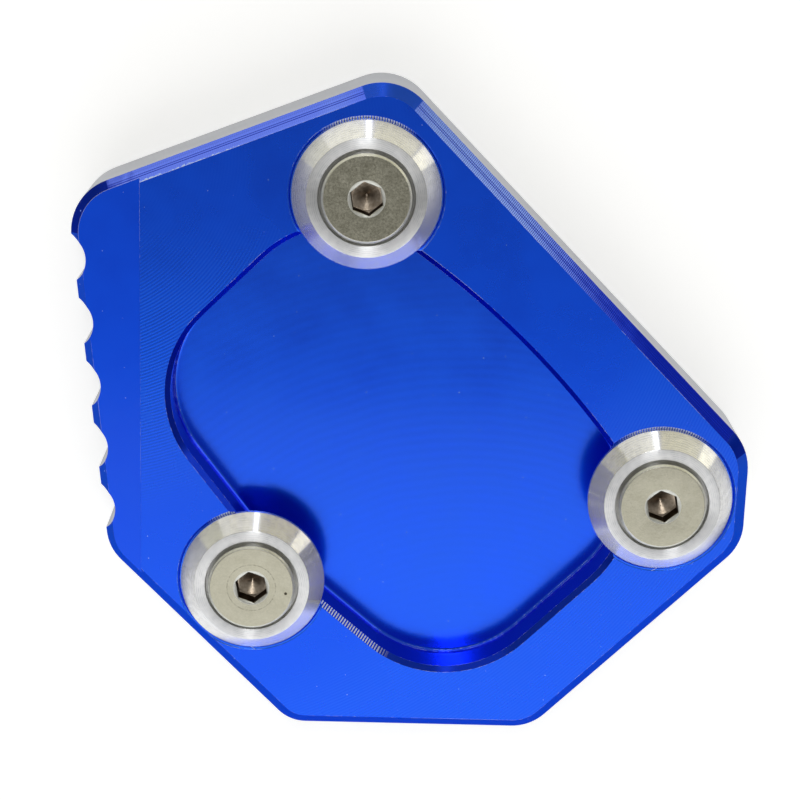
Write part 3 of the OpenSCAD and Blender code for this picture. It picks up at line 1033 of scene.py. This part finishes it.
shank_top = SCREW_LENGTH - HEAD_LAND - (HEAD_RADIUS - SCREW_RADIUS)
socket_floor = SCREW_LENGTH - SOCKET_DEPTH
rings = round((shank_top - TIP_CHAMFER) / THREAD_PITCH * RINGS_PER_TURN)
shank = [
    (SCREW_RADIUS, TIP_CHAMFER + (shank_top - TIP_CHAMFER) * i / rings) for i in range(rings + 1)
]
screw_outline = [(SCREW_RADIUS - TIP_CHAMFER, 0)] + shank + [
    (HEAD_RADIUS, SCREW_LENGTH - HEAD_LAND),
    (HEAD_RADIUS, SCREW_LENGTH - HEAD_EDGE),
    (HEAD_RADIUS - HEAD_EDGE, SCREW_LENGTH),
    (MOUTH_RADIUS, SCREW_LENGTH),
    (SOCKET_ROUND, SCREW_LENGTH - MOUTH_DEPTH),
    (SOCKET_ROUND, socket_floor),
    (DRILL_RADIUS, socket_floor),
    (DRILL_TIP, socket_floor - DRILL_RADIUS * DRILL_SLOPE),
]
print("rings along the shank:", len(shank))

# %% Press the socket and the thread
HAIR = 0.001 * MM


def to_radius(point, radius):
    """Moves a point level to another radius."""
    share = radius / math.hypot(point.x, point.y)
    point.x *= share
    point.y *= share


def press_hexagon(piece):
    """Moves the socket's round walls out to a hexagon, up to its countersunk mouth."""
    side = math.radians(60)
    for vertex in piece.data.vertices:
        point = vertex.co
        on_wall = abs(math.hypot(point.x, point.y) - SOCKET_ROUND) < HAIR
        if point.z < socket_floor - HAIR or not on_wall:
            continue
        from_middle = (math.atan2(point.y, point.x) - SOCKET_TURN) % side - side / 2
        radius = SOCKET_WIDTH / 2 / math.cos(from_middle)
        to_radius(point, radius)
        if point.z > socket_floor + HAIR:
            point.z = SCREW_LENGTH - (MOUTH_RADIUS - radius) * MOUTH_SLOPE


def press_thread(piece):
    """Moves the shank's rings in along a helix, fading out at the head."""
    for vertex in piece.data.vertices:
        point = vertex.co
        radius = math.hypot(point.x, point.y)
        on_shank = TIP_CHAMFER / 2 < point.z < shank_top + HAIR and radius > SCREW_RADIUS * 0.9
        if not on_shank:
            continue
        phase = (point.z / THREAD_PITCH - math.atan2(point.y, point.x) / (2 * math.pi)) % 1
        groove = 1 - abs(2 * phase - 1)
        fade = min(1, (shank_top - point.z) / THREAD_PITCH)
        to_radius(point, radius - THREAD_DEPTH * groove * fade)

# %% Model the screw
LAND_LOWEST = SCREW_LENGTH - HEAD_LAND
HEAD_FACE_LOWEST = SCREW_LENGTH - 0.05 * MM
SOCKET_LOWEST = socket_floor - 1.2 * MM
NEARLY_LEVEL = 0.95


def screw_finish_of(face):
    """Which finish a face of the screw has: plated all over, but for the socket and land."""
    radius, height, up = math.hypot(face.center.x, face.center.y), face.center.z, face.normal.z
    if height > LAND_LOWEST and up < NEARLY_LEVEL and (up > LEANING or radius > MOUTH_RADIUS):
        return LAND
    if radius > MOUTH_RADIUS or height > HEAD_FACE_LOWEST or height < SOCKET_LOWEST:
        return PLATED
    return SOCKET_FLOOR if up > LEANING else SOCKET_WALL


screw = turned("screw", screw_outline, closed=False)
press_hexagon(screw)
soften_edges(screw, width=0.05 * MM, fold=28)
press_thread(screw)
give_finishes(screw, SCREW_FINISHES, screw_finish_of)
print("screw faces:", len(screw.data.polygons))

# %% [markdown]
# ## Put the clamps together
# The models stand at the origin. Each copy is moved to its screw's place, and the move is
# applied, so that the object stays at the origin and its place is in its mesh.

# %% Copy washers and screws to their places
def place_copy(model, name, place, height, node):
    """Copies a model to its place and lets the copy stand for a solid of the frame."""
    pick(model)
    bpy.ops.object.duplicate()
    piece = bpy.context.active_object
    piece.name = piece.data.name = name
    bpy.ops.transform.translate(value=(place.x, place.y, height))
    bpy.ops.object.transform_apply(location=True, rotation=True, scale=True)
    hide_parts(node)
    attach(piece, BODY)


for key, place in screw_places.items():
    place_copy(washer, f"turned_washer_{key}", place, WASHER_FOOT, f"clamp_washer_{key}")
    place_copy(screw, f"socket_screw_{key}", place, SCREW_TIP, f"clamp_screw_{key}")
for model in (washer, screw):
    pick(model)
    bpy.ops.object.delete()
print("clamps:", ", ".join(sorted(screw_places)))

# %% [markdown]
# ## Light and floor
# Metal shows what is round it, so the lamps are placed for their reflections. A large
# soft panel over the lower edge brightens the face from the top corner downwards, and a
# low one under it lights the bevels that look that way. Low panels behind the top corner
# light the chamfers and cut the washers' bevels into sectors, a tall narrow strip draws
# the white streak across them, and a small key lamp casts the washers' soft shadows into
# the pocket. The low panels are warm, which shows in the bevels. Angles are in degrees,
# with azimuths from +X towards +Y, and lengths are in metres.

# %% Lamps
def add_panel(name, azimuth, elevation, distance, width, height, radiance, colour):
    """A soft rectangular lamp that faces the plate, with that radiance over its face."""
    light = bpy.data.lights.new(name, "AREA")
    light.shape = "RECTANGLE"
    light.size, light.size_y = width, height
    light.energy = radiance * math.pi * width * height
    light.color = linear(colour)[:3]
    lamp = bpy.data.objects.new(name, light)
    scene.collection.objects.link(lamp)
    level = math.cos(math.radians(elevation))
    way = mathutils.Vector((
        level * math.cos(math.radians(azimuth)),
        level * math.sin(math.radians(azimuth)),
        math.sin(math.radians(elevation)),
    ))
    lamp.location = way * distance
    lamp.rotation_euler = way.to_track_quat("Z", "Y").to_euler()
    lamp.visible_camera = False


# Azimuth, elevation, distance, width, height, radiance and colour of each lamp
LAMPS = {
    "panel_over_lower_edge": (-90, 52, 1.2, 1.7, 0.97, 0.84, "#ffffff"),
    "panel_low_in_front": (-90, 18, 1.3, 2.4, 0.8, 0.95, "#f2f6ff"),
    "panel_right_of_corner": (29, 13, 1.0, 0.28, 0.5, 1.3, "#fff8d4"),
    "panel_behind_corner": (62, 13, 1.02, 0.86, 0.5, 0.48, "#fbee98"),
    "panel_left_of_corner": (114, 13, 1.0, 0.72, 0.5, 0.76, "#fdf8d8"),
    "panel_far_left": (147, 13, 1.02, 0.46, 0.5, 0.36, "#f6ee98"),
    "streak_strip": (90, 30, 0.96, 0.1, 1.1, 1.8, "#ffffff"),
    "key_lamp": (96, 62, 1.0, 0.2, 0.2, 6.0, "#ffffff"),
}
for name, settings in LAMPS.items():
    add_panel(name, *settings)
print("lamps:", ", ".join(LAMPS))

# %% [markdown]
# The room is an even grey. The floor is a white sheet, and where the camera or a glossy
# surface looks at it, a little glow lifts it to white. It still takes the shadow. It lies
# a fiftieth of a millimetre under the plate, so that the two faces don't mix.

# %% World and floor
ROOM_STRENGTH = 0.32
SHEET_GLOW = 0.44
SHEET_DROP = 0.02 * MM

world = bpy.data.worlds.new("studio")
scene.world = world
world.use_nodes = True
world.node_tree.nodes.clear()
room = add_node(world.node_tree, "Background", {
    "Color": linear("#ffffff"), "Strength": ROOM_STRENGTH,
})
add_node(world.node_tree, "OutputWorld", {"Surface": room.outputs[0]})


def make_floor():
    """A wide pale sheet that keeps the plate's soft shadow."""
    deselect_all()
    bpy.ops.mesh.primitive_plane_add(size=6, location=(0, 0, -SHEET_DROP))
    floor = bpy.context.active_object
    floor.name = "studio_floor"
    material, tree = new_material("white_sheet")
    paths = add_node(tree, "LightPath")
    seen = add_node(tree, "Math", {
        0: paths.outputs["Is Camera Ray"], 1: paths.outputs["Is Glossy Ray"],
    }, operation="MAXIMUM").outputs[0]
    shown = add_node(tree, "Math", {
        0: seen, 1: paths.outputs["Is Transmission Ray"],
    }, operation="MAXIMUM").outputs[0]
    strength = add_node(tree, "Math", {0: shown, 1: SHEET_GLOW}, operation="MULTIPLY").outputs[0]
    paper = add_node(tree, "BsdfDiffuse", {"Color": linear("#f4f4f4")})
    lift = add_node(tree, "Emission", {"Color": linear("#ffffff"), "Strength": strength})
    sheet = add_node(tree, "AddShader", {0: paper.outputs[0], 1: lift.outputs[0]})
    add_node(tree, "OutputMaterial", {"Surface": sheet.outputs[0]})
    floor.data.materials.append(material)


make_floor()
